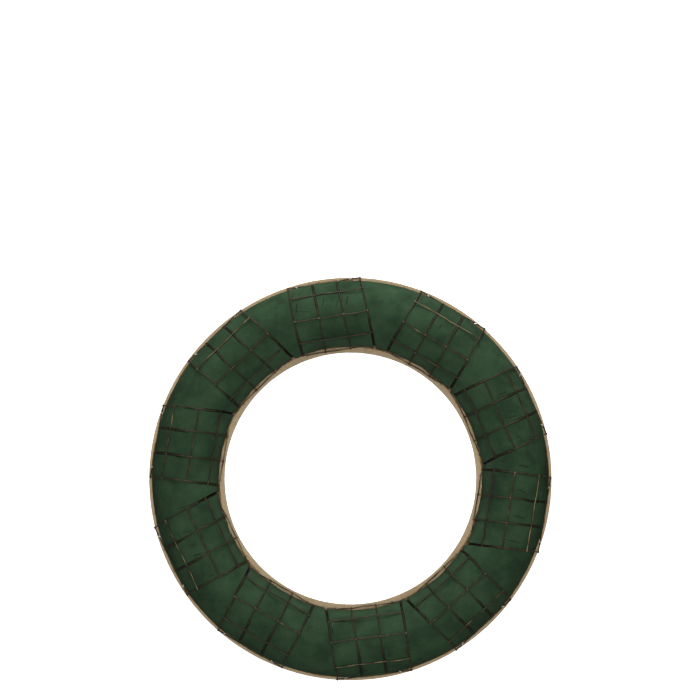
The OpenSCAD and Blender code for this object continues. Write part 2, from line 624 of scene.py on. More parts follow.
@dataclass(frozen=True)
class GalvanisedSteel:
    """Zinc-coated steel of staples: bright silver with a slightly cloudy skin.

    The inner ones, which sit at the foam's foot, are darkened brown by painted shade.
    """

    zinc: str = "#BDB8AE"
    cloudy: str = "#8F897F"
    # Dark brown of the painted shade on the inner staples.
    stain: str = "#2E2618"
    cloud: float = 1.6
    relief: float = 0.03
    roughness: float = 0.3

    def make(self) -> bpy.types.Material:
        """Builds the material.

        Returns:
            The material, with its shader and patterns.
        """
        material, tree, place = new_material("galvanised_staple_steel")
        clouds = add_node(
            tree,
            "ShaderNodeTexNoise",
            values={"Scale": 1 / (self.cloud * MM), "Detail": 2},
            links={"Vector": place},
        ).outputs["Fac"]
        # Strength of the painted shade, carried by the mesh.
        dirt = add_node(tree, "ShaderNodeAttribute", {"attribute_name": "stained"}).outputs["Fac"]
        coats = [
            Coat(self.cloudy, clouds, 0.45, 0.7),
            Coat(self.stain, dirt, rise=Rise.STRAIGHT),
        ]
        raised = add_node(
            tree,
            "ShaderNodeBump",
            values={"Strength": 1.0, "Distance": self.relief * MM},
            links={"Height": clouds},
        )
        shader = add_node(
            tree,
            "ShaderNodeBsdfPrincipled",
            values={"Roughness": self.roughness, "Metallic": 1.0},
            links={"Base Color": lay_coats(tree, self.zinc, coats), "Normal": raised.outputs[0]},
        )
        add_node(tree, "ShaderNodeOutputMaterial", links={"Surface": shader.outputs[0]})
        return material


@dataclass(frozen=True)
class FibreBoard:
    """Raw wood-fibre board, pressed and sawn into a ring: a warm tan felt of short fibres.

    The fibres are about 0.2 mm thick and are drawn at 0.7 mm, because they are too fine to
    show otherwise.
    """

    body: str = "#BCA683"
    pale: str = "#D0BE9D"
    brown: str = "#9D845F"
    sawn: str = "#8F7858"
    fibre: float = 0.7
    cloud: float = 18
    relief: float = 0.12
    roughness: float = 0.88
    gloss: float = 0.25

    def make(self) -> bpy.types.Material:
        """Builds the material.

        Returns:
            The material, with its shader and patterns.
        """
        material, tree, place = new_material("wood_fibre_board")
        fibres = []
        for shrink in ((0.2, 1, 1), (1, 0.2, 1)):
            drawn_out = add_node(
                tree, "ShaderNodeMapping", values={"Scale": shrink}, links={"Vector": place}
            )
            one_way = add_node(
                tree,
                "ShaderNodeTexNoise",
                values={"Scale": 1 / (self.fibre * MM), "Detail": 3, "Roughness": 0.7},
                links={"Vector": drawn_out.outputs[0]},
            )
            fibres.append(one_way.outputs["Fac"])
        felt = add_node(
            tree, "ShaderNodeMath", {"operation": "ADD"}, links={0: fibres[0], 1: fibres[1]}
        ).outputs[0]
        clouds = add_node(
            tree,
            "ShaderNodeTexNoise",
            values={"Scale": 1 / (self.cloud * MM), "Detail": 2},
            links={"Vector": place},
        ).outputs["Fac"]
        edge = add_node(tree, "ShaderNodeAttribute", {"attribute_name": "sawn"}).outputs["Fac"]
        coats = [
            Coat(self.pale, felt, 1.0, 1.3, 0.75),
            Coat(self.brown, felt, 0.98, 0.72, 0.7),
            Coat(self.brown, clouds, 0.5, 0.75, 0.35),
            Coat(self.sawn, edge, rise=Rise.STRAIGHT),
        ]
        raised = add_node(
            tree,
            "ShaderNodeBump",
            values={"Strength": 1.0, "Distance": self.relief * MM},
            links={"Height": felt},
        )
        shader = add_node(
            tree,
            "ShaderNodeBsdfPrincipled",
            values={"Roughness": self.roughness, "Specular IOR Level": self.gloss},
            links={"Base Color": lay_coats(tree, self.body, coats), "Normal": raised.outputs[0]},
        )
        add_node(tree, "ShaderNodeOutputMaterial", links={"Surface": shader.outputs[0]})
        return material


@dataclass(frozen=True)
class AmberGlue:
    """Brown wood glue that dried to a thin amber skin: smooth, half glossy, a little clear."""

    body: str = "#8A6029"
    thick: str = "#5A3A18"
    flow: float = 6
    relief: float = 0.15
    roughness: float = 0.34
    clear: float = 0.15
    depth: tuple[float, float, float] = (1.2, 0.6, 0.2)

    def make(self) -> bpy.types.Material:
        """Builds the material.

        Returns:
            The material, with its shader and patterns.
        """
        material, tree, place = new_material("dried_amber_glue")
        waves = add_node(
            tree,
            "ShaderNodeTexNoise",
            values={"Scale": 1 / (self.flow * MM), "Detail": 2},
            links={"Vector": place},
        ).outputs["Fac"]
        raised = add_node(
            tree,
            "ShaderNodeBump",
            values={"Strength": 1.0, "Distance": self.relief * MM},
            links={"Height": waves},
        )
        colour = lay_coats(tree, self.body, [Coat(self.thick, waves, 0.4, 0.7)])
        shader = add_node(
            tree,
            "ShaderNodeBsdfPrincipled",
            values={
                "Roughness": self.roughness,
                "Subsurface Weight": self.clear,
                "Subsurface Radius": tuple(d * MM for d in self.depth),
            },
            links={"Base Color": colour, "Normal": raised.outputs[0]},
        )
        add_node(tree, "ShaderNodeOutputMaterial", links={"Surface": shader.outputs[0]})
        return material


@dataclass(frozen=True)
class WhiteTable:
    """A white laminate table top under bright light, which leaves next to no shadow."""

    top: str = "#FFFFFF"
    glow: float = 1.0
    roughness: float = 0.8

    def make(self) -> bpy.types.Material:
        """Builds the material.

        Returns:
            The material, with its shader and patterns.
        """
        material, tree, _ = new_material("white_table_top")
        shader = add_node(
            tree,
            "ShaderNodeBsdfPrincipled",
            values={
                "Base Color": to_linear(self.top),
                "Roughness": self.roughness,
                "Specular IOR Level": 0.0,
                "Emission Color": to_linear(self.top),
                "Emission Strength": self.glow,
            },
        )
        add_node(tree, "ShaderNodeOutputMaterial", links={"Surface": shader.outputs[0]})
        return material


# --------------------------------------------------------------- sizes shared


@dataclass(frozen=True)
class RingSizes:
    """Sizes of the ring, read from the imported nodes."""

    board_in: float
    board_out: float
    board_top: float
    foam_in: float
    foam_out: float
    foam_low: float
    foam_top: float

    @classmethod
    def read(cls, nodes: dict[str, bpy.types.Object]) -> RingSizes:
        """Measures the board and the foam.

        Args:
            nodes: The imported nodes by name.

        Returns:
            The sizes in millimetres.
        """
        board = cls._reach(nodes["base_board"])
        foam = cls._reach(nodes["foam_ring"])
        return cls(board[0], board[1], board[3], foam[0], foam[1], foam[2], foam[3])

    @staticmethod
    def _reach(node: bpy.types.Object) -> tuple[float, float, float, float]:
        """Finds how far a node reaches.

        Args:
            node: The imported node.

        Returns:
            Its least and greatest radius, and its lowest and highest point, in millimetres.
        """
        points = np.array([v.co for v in node.data.vertices]) / MM
        radius = np.hypot(points[:, 0], points[:, 1])
        return radius.min(), radius.max(), points[:, 2].min(), points[:, 2].max()

    @property
    def foam_mid(self) -> float:
        """Radius of the ring that the middle of the foam runs on."""
        return (self.foam_in + self.foam_out) / 2

    @property
    def foam_half(self) -> float:
        """Half the width of the foam's foot."""
        return (self.foam_out - self.foam_in) / 2

    @property
    def foam_r(self) -> float:
        """Radius of the foam's section."""
        height = self.foam_top - self.foam_low
        return (self.foam_half**2 + height**2) / (2 * height)

    @property
    def foam_z(self) -> float:
        """Height of the middle of that section's circle."""
        return self.foam_top - self.foam_r


@dataclass(frozen=True)
class Lay:
    """How one strap was laid: its direction from +X and its arches' lean, in degrees.

    The moves say how far its wires were bent out of their even places by hand, in millimetres:
    the arches clockwise along the rails, and the middle rails inwards along the arches.
    """

    direction: float
    lean: float
    arch_moves: tuple[float, float, float, float]
    rail_moves: tuple[float, float, float]


# The ten straps as they were laid, counter-clockwise from the right-hand side of the ring.
LAYS = [
    Lay(23, 2, (1.5, 0.2, 0.6, -0.7), (-1.8, 0.2, -1.9)),
    Lay(58.5, 2, (1.8, 2.0, 0.9, 0.0), (-0.5, 0.9, -1.9)),
    Lay(97, 5, (1.6, 0.7, 0.4, -0.9), (-1.0, -0.3, -1.6)),
    Lay(132.5, 5, (0.6, -0.3, -0.6, -2.4), (-0.3, 1.1, -2.1)),
    Lay(168, 5, (0.2, -0.6, -0.4, -2.7), (-1.0, 0.8, 0.0)),
    Lay(204, 5, (0.8, 1.4, 0.6, -0.5), (-0.2, 1.6, -0.1)),
    Lay(238, 5, (-1.5, -2.5, -2.4, -3.4), (0.9, 1.7, 0.0)),
    Lay(276, 3, (-0.8, -1.1, -1.8, -2.1), (-0.9, 1.4, -0.8)),
    Lay(311.5, 3, (0.4, -0.4, -0.4, -1.8), (-1.8, 0.4, -0.3)),
    Lay(348.5, 5, (0.4, 0.6, 0.3, 0.2), (-1.2, 0.8, -2.0)),
]


@dataclass(frozen=True)
class MeshLayout:
    """Where the wires of a strap run, in the strap's own frame.

    Its origin lies below the middle of the arches, with +Y outwards and +X clockwise.
    """

    ring: RingSizes
    wire_d: float = 1.2
    pitch: float = 25
    arches: int = 4
    rails: int = 5
    rail_shift: float = 2.5
    set_out: float = 4
    set_in: float = 2.6
    stub: float = 1.2
    weld: float = 0.25
    follow: float = 0.4
    gap: float = 0.1

    @property
    def wire_r(self) -> float:
        """Radius of the wire."""
        return self.wire_d / 2

    @property
    def bend_r(self) -> float:
        """Distance between the middle lines of two wires at a weld."""
        return self.wire_d - self.weld

    @property
    def width(self) -> float:
        """Distance between the outermost arches."""
        return (self.arches - 1) * self.pitch

    @property
    def foot_z(self) -> float:
        """Height of the flat ends of the arches."""
        return self.ring.board_top + self.gap + self.wire_r

    @property
    def middle(self) -> float:
        """Distance of the strap's origin from the middle of the ring."""
        out = self.ring.board_out - self.set_out
        return (out + self.ring.board_in + self.set_in) / 2

    @property
    def half(self) -> float:
        """Distance of a foot rail from the strap's origin."""
        return self.ring.board_out - self.set_out - self.middle

    @property
    def rail_r(self) -> float:
        """Radius of the circle that the rails lie on, seen from the strap's end."""
        rise = self.ring.foam_top + self.gap + self.wire_r - self.foot_z
        return (self.half**2 + rise**2) / (2 * rise)

    @property
    def arch_r(self) -> float:
        """Radius of an arch."""
        return self.rail_r - self.bend_r

    @property
    def arch_z(self) -> float:
        """Height of the middle of that radius."""
        return self.ring.foam_top + self.gap + self.wire_r - self.arch_r

    @property
    def foot_angle(self) -> float:
        """Angle in radians at which an arch turns outwards round a foot rail."""
        return math.asin((self.foot_z + self.bend_r - self.arch_z) / self.rail_r)

    def rail_angle(self, lay: Lay, j: int) -> float:
        """Angle of a rail round the arches, from the outermost rail.

        Args:
            lay: How the strap was laid.
            j: Number of the rail.

        Returns:
            The angle in radians.
        """
        step = (math.pi - 2 * self.foot_angle) / (self.rails - 1)
        slip = 0.0
        if 0 < j < self.rails - 1:
            slip = (self.rail_shift + lay.rail_moves[j - 1]) / self.rail_r
        return self.foot_angle + j * step + slip

    def arch_x(self, lay: Lay, i: int) -> float:
        """Place of arch i along the strap."""
        return (i - (self.arches - 1) / 2) * self.pitch + lay.arch_moves[i]

    def ends(self, lay: Lay, room: float = 0) -> tuple[float, float]:
        """Places along the strap where its rails end, with some room beyond them."""
        beyond = self.stub + room
        return self.arch_x(lay, 0) - beyond, self.arch_x(lay, self.arches - 1) + beyond

    def arch_axes(self, lay: Lay, i: int) -> tuple[np.ndarray, np.ndarray, np.ndarray]:
        """The upright plane that arch i lies in.

        Args:
            lay: How the strap was laid.
            i: Number of the arch.

        Returns:
            The plane's origin, its direction outwards and its sideways normal.
        """
        lean = math.radians(lay.lean)
        turn = self.follow * lean
        start = self.arch_x(lay, i) * np.array([math.cos(turn), math.sin(turn), 0])
        out = np.array([-math.sin(lean), math.cos(lean), 0])
        return start, out, np.array([math.cos(lean), math.sin(lean), 0])

    def rail_axes(self, lay: Lay, j: int) -> tuple[np.ndarray, np.ndarray, np.ndarray, np.ndarray]:
        """The frame of rail j.

        Args:
            lay: How the strap was laid.
            j: Number of the rail.

        Returns:
            The middle of the rail, then the directions along it, round the arch and away
            from the arch's middle.
        """
        lean = math.radians(lay.lean)
        turn, angle = self.follow * lean, self.rail_angle(lay, j)
        out = self.rail_r * math.cos(angle)
        height = self.arch_z + self.rail_r * math.sin(angle)
        start = np.array([-out * math.sin(lean), out * math.cos(lean), height])
        along = np.array([math.cos(turn), math.sin(turn), 0])
        away = np.array([0, math.cos(angle), math.sin(angle)])
        away = np.array([-away[1] * math.sin(turn), away[1] * math.cos(turn), away[2]])
        return start, along, np.cross(away, along), away

    def to_ring(self, lay: Lay, points: np.ndarray) -> np.ndarray:
        """Moves points from the strap's own frame to the ring's.

        Args:
            lay: How the strap was laid.
            points: One point a row.

        Returns:
            The points in the ring's frame.
        """
        turn = math.radians(lay.direction - 90)
        x, y = points[:, 0], points[:, 1] + self.middle
        c, s = math.cos(turn), math.sin(turn)
        return np.stack([x * c - y * s, x * s + y * c, points[:, 2]], axis=1)

    def to_strap(self, lay: Lay, points: np.ndarray) -> np.ndarray:
        """Moves points from the ring's frame to the strap's own.

        Args:
            lay: How the strap was laid.
            points: One point a row.

        Returns:
            The points in the strap's frame.
        """
        turn = math.radians(lay.direction - 90)
        c, s = math.cos(turn), math.sin(turn)
        x = points[:, 0] * c + points[:, 1] * s
        y = -points[:, 0] * s + points[:, 1] * c - self.middle
        return np.stack([x, y, points[:, 2]], axis=1)


# ----------------------------------------------------------------------- foam


@dataclass(frozen=True)
class Slit:
    """A thin cut that a wire left in the foam, shown dark by painted shade.

    Its middle is given along the rails and along the arches of a strap, and its slant in
    degrees from the arches. The sliver of painted shade that stands for its dark inside is proud
    of the foam by a hair.
    """

    strap: int
    along: float
    across: float
    length: float
    slant: float
    # Strength of the painted shade on the sliver.
    dark: float = 0.95
    width: float = 0.8
    proud: float = 0.06
    sunk: float = 0.25


@dataclass
class FoamRing:
    """The ring of floral foam, with the grooves, slits and dents that the mesh made."""

    ring: RingSizes
    layout: MeshLayout
    finish: PhenolicFoam
    slits: list[Slit]
    floor_w: float = 0.66
    groove_w: float = 1.0
    shoulder_w: float = 1.7
    column_gap: float = 1.65
    row_gap: float = 1.45
    fine_row: float = 0.5
    fine_rows: tuple[float, float] = (125, 139)
    fine_foot: float = 6.5
    gap_count: int = 16
    under_count: int = 4
    shoulder_sag: float = 0.25
    rail_shadow: float = 0.9
    foot_shadow: float = 0.6
    foot_crush: float = 1.5
    # How much paler the foam is made towards its inner foot.
    dust_amount: float = 0.55
    strap_reach: float = 70

    def _row_angles(self) -> np.ndarray:
        """Spaces the rows over the section, closer where the inner rails lie in the foam.

        Returns:
            Angle of each row in the section, in radians, from the outer foot.
        """
        low = math.asin((self.ring.foam_low - self.ring.foam_z) / self.ring.foam_r)
        angle, rows = low, []
        fine_from, fine_to = (math.radians(angle) for angle in self.fine_rows)
        foot = low + math.radians(self.fine_foot)
        while angle < math.pi - low - 1e-6:
            rows.append(angle)
            tight = fine_from < angle < fine_to or angle < foot or angle > math.pi - foot
            angle += (self.fine_row if tight else self.row_gap) / self.ring.foam_r
        rows[-1] = (rows[-2] + math.pi - low) / 2
        return np.array([*rows, math.pi - low])

    def _line(self, lay: Lay, along: float, radii: np.ndarray) -> np.ndarray:
        """Follows a line beside the arches over the foam.

        Args:
            lay: How the strap was laid.
            along: Place of the line along the strap.
            radii: Radius of each row.

        Returns:
            Angle round the ring, in radians, at each radius.
        """
        lean = math.radians(lay.lean)
        turn = self.layout.follow * lean
        x, y = along * math.cos(turn), self.layout.middle + along * math.sin(turn)
        reach = -x * math.sin(lean) + y * math.cos(lean)
        step = -reach + np.sqrt(reach**2 - x**2 - y**2 + radii**2)
        px, py = x - step * math.sin(lean), y + step * math.cos(lean)
        return np.arctan2(py, px) + math.radians(lay.direction - 90)

    def _strap_columns(self, lay: Lay) -> list[float]:
        """Places along a strap where the foam has a column, from arch to arch.

        Args:
            lay: How the strap was laid.

        Returns:
            The places, in the order that goes round the ring.
        """
        near = [self.floor_w, self.groove_w, self.shoulder_w]
        arches = [self.layout.arch_x(lay, i) for i in range(self.layout.arches)]
        places = {round(x + s * e, 3) for x in arches for s in (-1, 1) for e in [0, *near]}
        for before, after in zip(arches, arches[1:]):
            free = after - before - 2 * self.shoulder_w
            count = round(free / self.column_gap)
            start = before + self.shoulder_w
            places |= {round(start + free * n / count, 3) for n in range(1, count)}
        inside = (p for p in places if arches[0] - 0.01 < p < arches[-1] + 0.01)
        return sorted(inside, reverse=True)

    def _gap_columns(
        self, radii: np.ndarray, left: np.ndarray, right: np.ndarray
    ) -> list[np.ndarray]:
        """Columns of the foam between two straps.

        Args:
            radii: Radius of each row.
            left: Angle of the last column of the strap before the gap, at each row.
            right: Angle of the first column of the next strap.

        Returns:
            Angles of each new column.
        """
        gap = right - left
        near = [self.floor_w, self.groove_w, self.shoulder_w]
        widest = 0.14
        beside = [np.minimum(e / radii, widest * (n + 1) * gap) for n, e in enumerate(near)]
        first, last = left + beside[-1], right - beside[-1]
        fill = [first + (last - first) * n / self.gap_count for n in range(1, self.gap_count)]
        return [*(left + b for b in beside), *fill, *(right - b for b in reversed(beside))]

    def _grid(self) -> tuple[np.ndarray, int, int]:
        """Lays out the foam before anything is pressed into it.

        Returns:
            Its points, the number of columns and the number of points in a column.
        """
        rows = self._row_angles()
        radii = self.ring.foam_mid + self.ring.foam_r * np.cos(rows)
        heights = self.ring.foam_z + self.ring.foam_r * np.sin(rows)
        columns: list[np.ndarray] = []
        for k, lay in enumerate(LAYS):
            after = LAYS[(k + 1) % len(LAYS)]
            lines = [self._line(lay, along, radii) for along in self._strap_columns(lay)]
            columns += lines
            first = self.layout.arch_x(after, self.layout.arches - 1)
            right = self._line(after, first, radii)
            right = right + (TAU if k + 1 == len(LAYS) else 0)
            columns += self._gap_columns(radii, lines[-1], right)
        under = np.linspace(0, 1, self.under_count + 2)[1:-1]
        radii = np.concatenate([radii, radii[-1] + (radii[0] - radii[-1]) * under])
        heights = np.concatenate([heights, np.full(len(under), self.ring.foam_low)])
        points = []
        for column in columns:
            foot = column[-1] + (column[0] - column[-1]) * under
            angle = np.concatenate([column, foot])
            points.append(np.stack([radii * np.cos(angle), radii * np.sin(angle), heights], 1))
        return np.concatenate(points), len(columns), len(radii)

    def _press_arches(self, lay: Lay, local: np.ndarray, press: np.ndarray) -> None:
        """Sinks the arches of a strap into the foam.

        Args:
            lay: How the strap was laid.
            local: Points in the strap's frame, which are moved.
            press: Darkening of each point from crushed foam and painted shade in the groove, which
                is raised.
        """
        floor = self.layout.arch_r - self.layout.wire_r - self.layout.gap
        for i in range(self.layout.arches):
            start, out, normal = self.layout.arch_axes(lay, i)
            aside = np.abs((local - start) @ normal)
            near = np.where((aside < self.shoulder_w) & (local[:, 2] > self.ring.foam_low))[0]
            points = local[near]
            run = (points - start) @ out
            rise = points[:, 2] - self.layout.arch_z
            reach = np.hypot(run, rise)
            sunk = np.maximum(reach - floor, 0)
            wall = ease(aside[near], self.groove_w, self.floor_w)
            sag = self.shoulder_sag * ease(aside[near], self.shoulder_w, self.groove_w)
            depth = sunk * wall + np.minimum(sunk, 0.5) * sag * (1 - wall)
            keep = 1 - depth / np.maximum(reach, 1)
            moved = points + np.outer(run * (keep - 1), out)
            moved[:, 2] = self.layout.arch_z + rise * keep
            local[near] = moved
            # Painted shade along the groove of a sunk arch, besides the crushed foam there.
            dark = ease(aside[near], 1.7, 0.6) * np.clip(sunk / 0.6, 0, 1)
            press[near] = np.maximum(press[near], dark)

    def _press_rails(self, lay: Lay, local: np.ndarray, press: np.ndarray) -> None:
        """Sinks the rails that lie on the dome into the foam.

        Args:
            lay: How the strap was laid.
            local: Points in the strap's frame, which are moved.
            press: Darkening of each point from crushed foam and painted shade in the groove, which
                is raised.
        """
        low, high = self.layout.ends(lay, self.layout.gap)
        floor, within = -self.layout.wire_r - self.layout.gap, 9
        for j in range(1, self.layout.rails - 1):
            start, along, around, away = self.layout.rail_axes(lay, j)
            offset = local - start
            x, y, z = offset @ along, np.abs(offset @ around), offset @ away
            held = (x > low) & (x < high) & (y < self.groove_w) & (z > floor) & (z < within)
            near = np.where(held)[0]
            wall = ease(y[near], self.groove_w, self.floor_w)
            depth = (z[near] - floor) * wall
            local[near] -= depth[:, None] * away
            # Painted shade along the groove under a sunk rail, besides the crushed foam there.
            dark = self.rail_shadow * wall * np.clip(depth / 0.5, 0, 1)
            press[near] = np.maximum(press[near], dark)

    def _crush_feet(self, lay: Lay, local: np.ndarray, press: np.ndarray) -> None:
        """Crushes the foot of the foam back where a foot rail and its staples lie.

        Args:
            lay: How the strap was laid.
            local: Points in the strap's frame, which are moved.
            press: Darkening of each point from crushed foam and painted shade at the foot, which
                is raised.
        """
        lean = math.radians(lay.lean)
        turn = self.layout.follow * lean
        along = np.array([math.cos(turn), math.sin(turn), 0])
        low, high = self.layout.ends(lay)
        middle, end = (low + high) / 2, (high - low) / 2
        top, within = self.layout.foot_z + self.layout.bend_r + self.layout.wire_d, 12
        for side in Edge:
            start = side * self.layout.half * np.array([-math.sin(lean), math.cos(lean), 0])
            out = side * np.array([-math.sin(turn), math.cos(turn), 0])
            offset = local - start
            x, y = offset @ along, offset @ out
            limit = -self.foot_crush + 0.2 * ripple(local[:, :2], 7, Seed.CRUSHED_FOOT)
            inside = ease(np.abs(x - middle), end + 1, end) * ease(local[:, 2], top + 1.2, top)
            depth = np.maximum(y - limit, 0) * inside * (y < within)
            local -= depth[:, None] * out
            # Painted shade at the crushed foot where the foot rail lies.
            press[:] = np.maximum(press, self.foot_shadow * np.clip(depth / 0.8, 0, 1))

    def _away(self, points: np.ndarray) -> np.ndarray:
        """Direction out of the dome.

        Args:
            points: One point a row.

        Returns:
            A unit vector for each point.
        """
        middle = points[:, :2] / np.linalg.norm(points[:, :2], axis=1)[:, None]
        flat = points[:, :2] - middle * self.ring.foam_mid
        away = np.column_stack([flat, points[:, 2] - self.ring.foam_z])
        return away / np.linalg.norm(away, axis=1)[:, None]

    @staticmethod
    def _swell(points: np.ndarray) -> np.ndarray:
        """How far the worn surface lies outside the plain dome.

        Args:
            points: One point a row.

        Returns:
            Millimetres for each point, mostly less than 0.
        """
        waves, dents, most, set_back = 0.16, 0.07, 0.3, 0.18
        swell = waves * ripple(points, 45, Seed.FOAM_WAVES)
        swell += dents * ripple(points, 9, Seed.FOAM_DENTS)
        return np.minimum(swell, most) - set_back

    def _cut(self, slit: Slit) -> tuple[np.ndarray, list[list[int]]]:
        """Painted shade for the dark inside of a slit, as a sliver that lies in the surface.

        Args:
            slit: The slit.

        Returns:
            The points and faces of the sliver, in the ring's frame.
        """
        lay = LAYS[slit.strap]
        lean, turn = math.radians(lay.lean), math.radians(lay.lean) * self.layout.follow
        slant = lean + math.radians(slit.slant)
        out = np.array([-math.sin(slant), math.cos(slant)])
        normal = np.array([math.cos(slant), math.sin(slant)])
        middle = slit.along * np.array([math.cos(turn), math.sin(turn)])
        middle = middle + slit.across * np.array([-math.sin(lean), math.cos(lean)])
        steps, bow, tip = 13, 0.035, 0.12
        t = np.linspace(-1, 1, steps)
        round_off = np.sqrt(np.clip(1 - t * t, 0, 1))
        bend = bow * slit.length * (1 - t * t) * math.sin(slit.along + slit.across)
        path = middle + np.outer(t * slit.length / 2, out) + np.outer(bend, normal)
        half = slit.width / 2 * (tip + (1 - tip) * round_off)
        corners = []
        high, low = slit.proud, -slit.sunk
        for side, lift in ((-1, high), (1, high), (1, low), (-1, low)):
            edge = path + np.outer(side * half, normal)
            flat = self.layout.to_ring(lay, np.column_stack([edge, np.zeros(len(edge))]))
            from_mid = np.linalg.norm(flat[:, :2], axis=1) - self.ring.foam_mid
            rise = np.sqrt(np.maximum(self.ring.foam_r**2 - from_mid**2, 0))
            flat[:, 2] = self.ring.foam_z + rise
            corners.append(flat + (self._swell(flat) + lift)[:, None] * self._away(flat))
        points = np.stack(corners, axis=1).reshape(-1, 3)
        faces = [
            [4 * a + b, 4 * a + (b + 1) % 4, 4 * a + 4 + (b + 1) % 4, 4 * a + 4 + b]
            for a in range(len(t) - 1)
            for b in range(4)
        ]
        last = 4 * (len(t) - 1)
        return points, [*faces, [3, 2, 1, 0], [last, last + 1, last + 2, last + 3]]

    def build(self) -> bpy.types.Object:
        """Makes the foam.

        Returns:
            The piece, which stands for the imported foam.
        """
        points, columns, rows = self._grid()
        press = np.zeros(len(points))
        face = points[:, 2] > self.ring.foam_low + 0.2
        points = points + (self._swell(points) * face)[:, None] * self._away(points)
        for k, lay in enumerate(LAYS):
            local = self.layout.to_strap(lay, points)
            near = np.where(np.hypot(local[:, 0], local[:, 1]) < self.strap_reach)[0]
            part, dark = local[near], press[near]
            self._press_arches(lay, part, dark)
            self._press_rails(lay, part, dark)
            self._crush_feet(lay, part, dark)
            points[near] = self.layout.to_ring(lay, part)
            press[near] = dark
        # The foam is made paler towards its inner foot, with a little waviness.
        reach = np.hypot(points[:, 0], points[:, 1])
        none_at, full_at = self.ring.foam_in + 11, self.ring.foam_in + 4
        dust = self.dust_amount * ease(reach, none_at, full_at)
        dust = dust * (0.8 + 0.2 * ripple(points, 20, Seed.FOAM_DUST))
        parts = Parts()
        values = {"press": press, "dust": np.clip(dust, 0, 1)}
        parts.add(settle(points), torus_faces(columns, rows), **values)
        # Each slit is a near-black sliver of painted shade laid on the foam.
        for slit in self.slits:
            points, faces = self._cut(slit)
            parts.add(settle(points), faces, press=slit.dark, dust=0.0)
        piece = parts.build("floral_foam_ring", self.finish.make(), crease=50)
        LOG.info("foam: %d columns by %d rows", columns, rows)
        return piece


# ----------------------------------------------------------------------- mesh


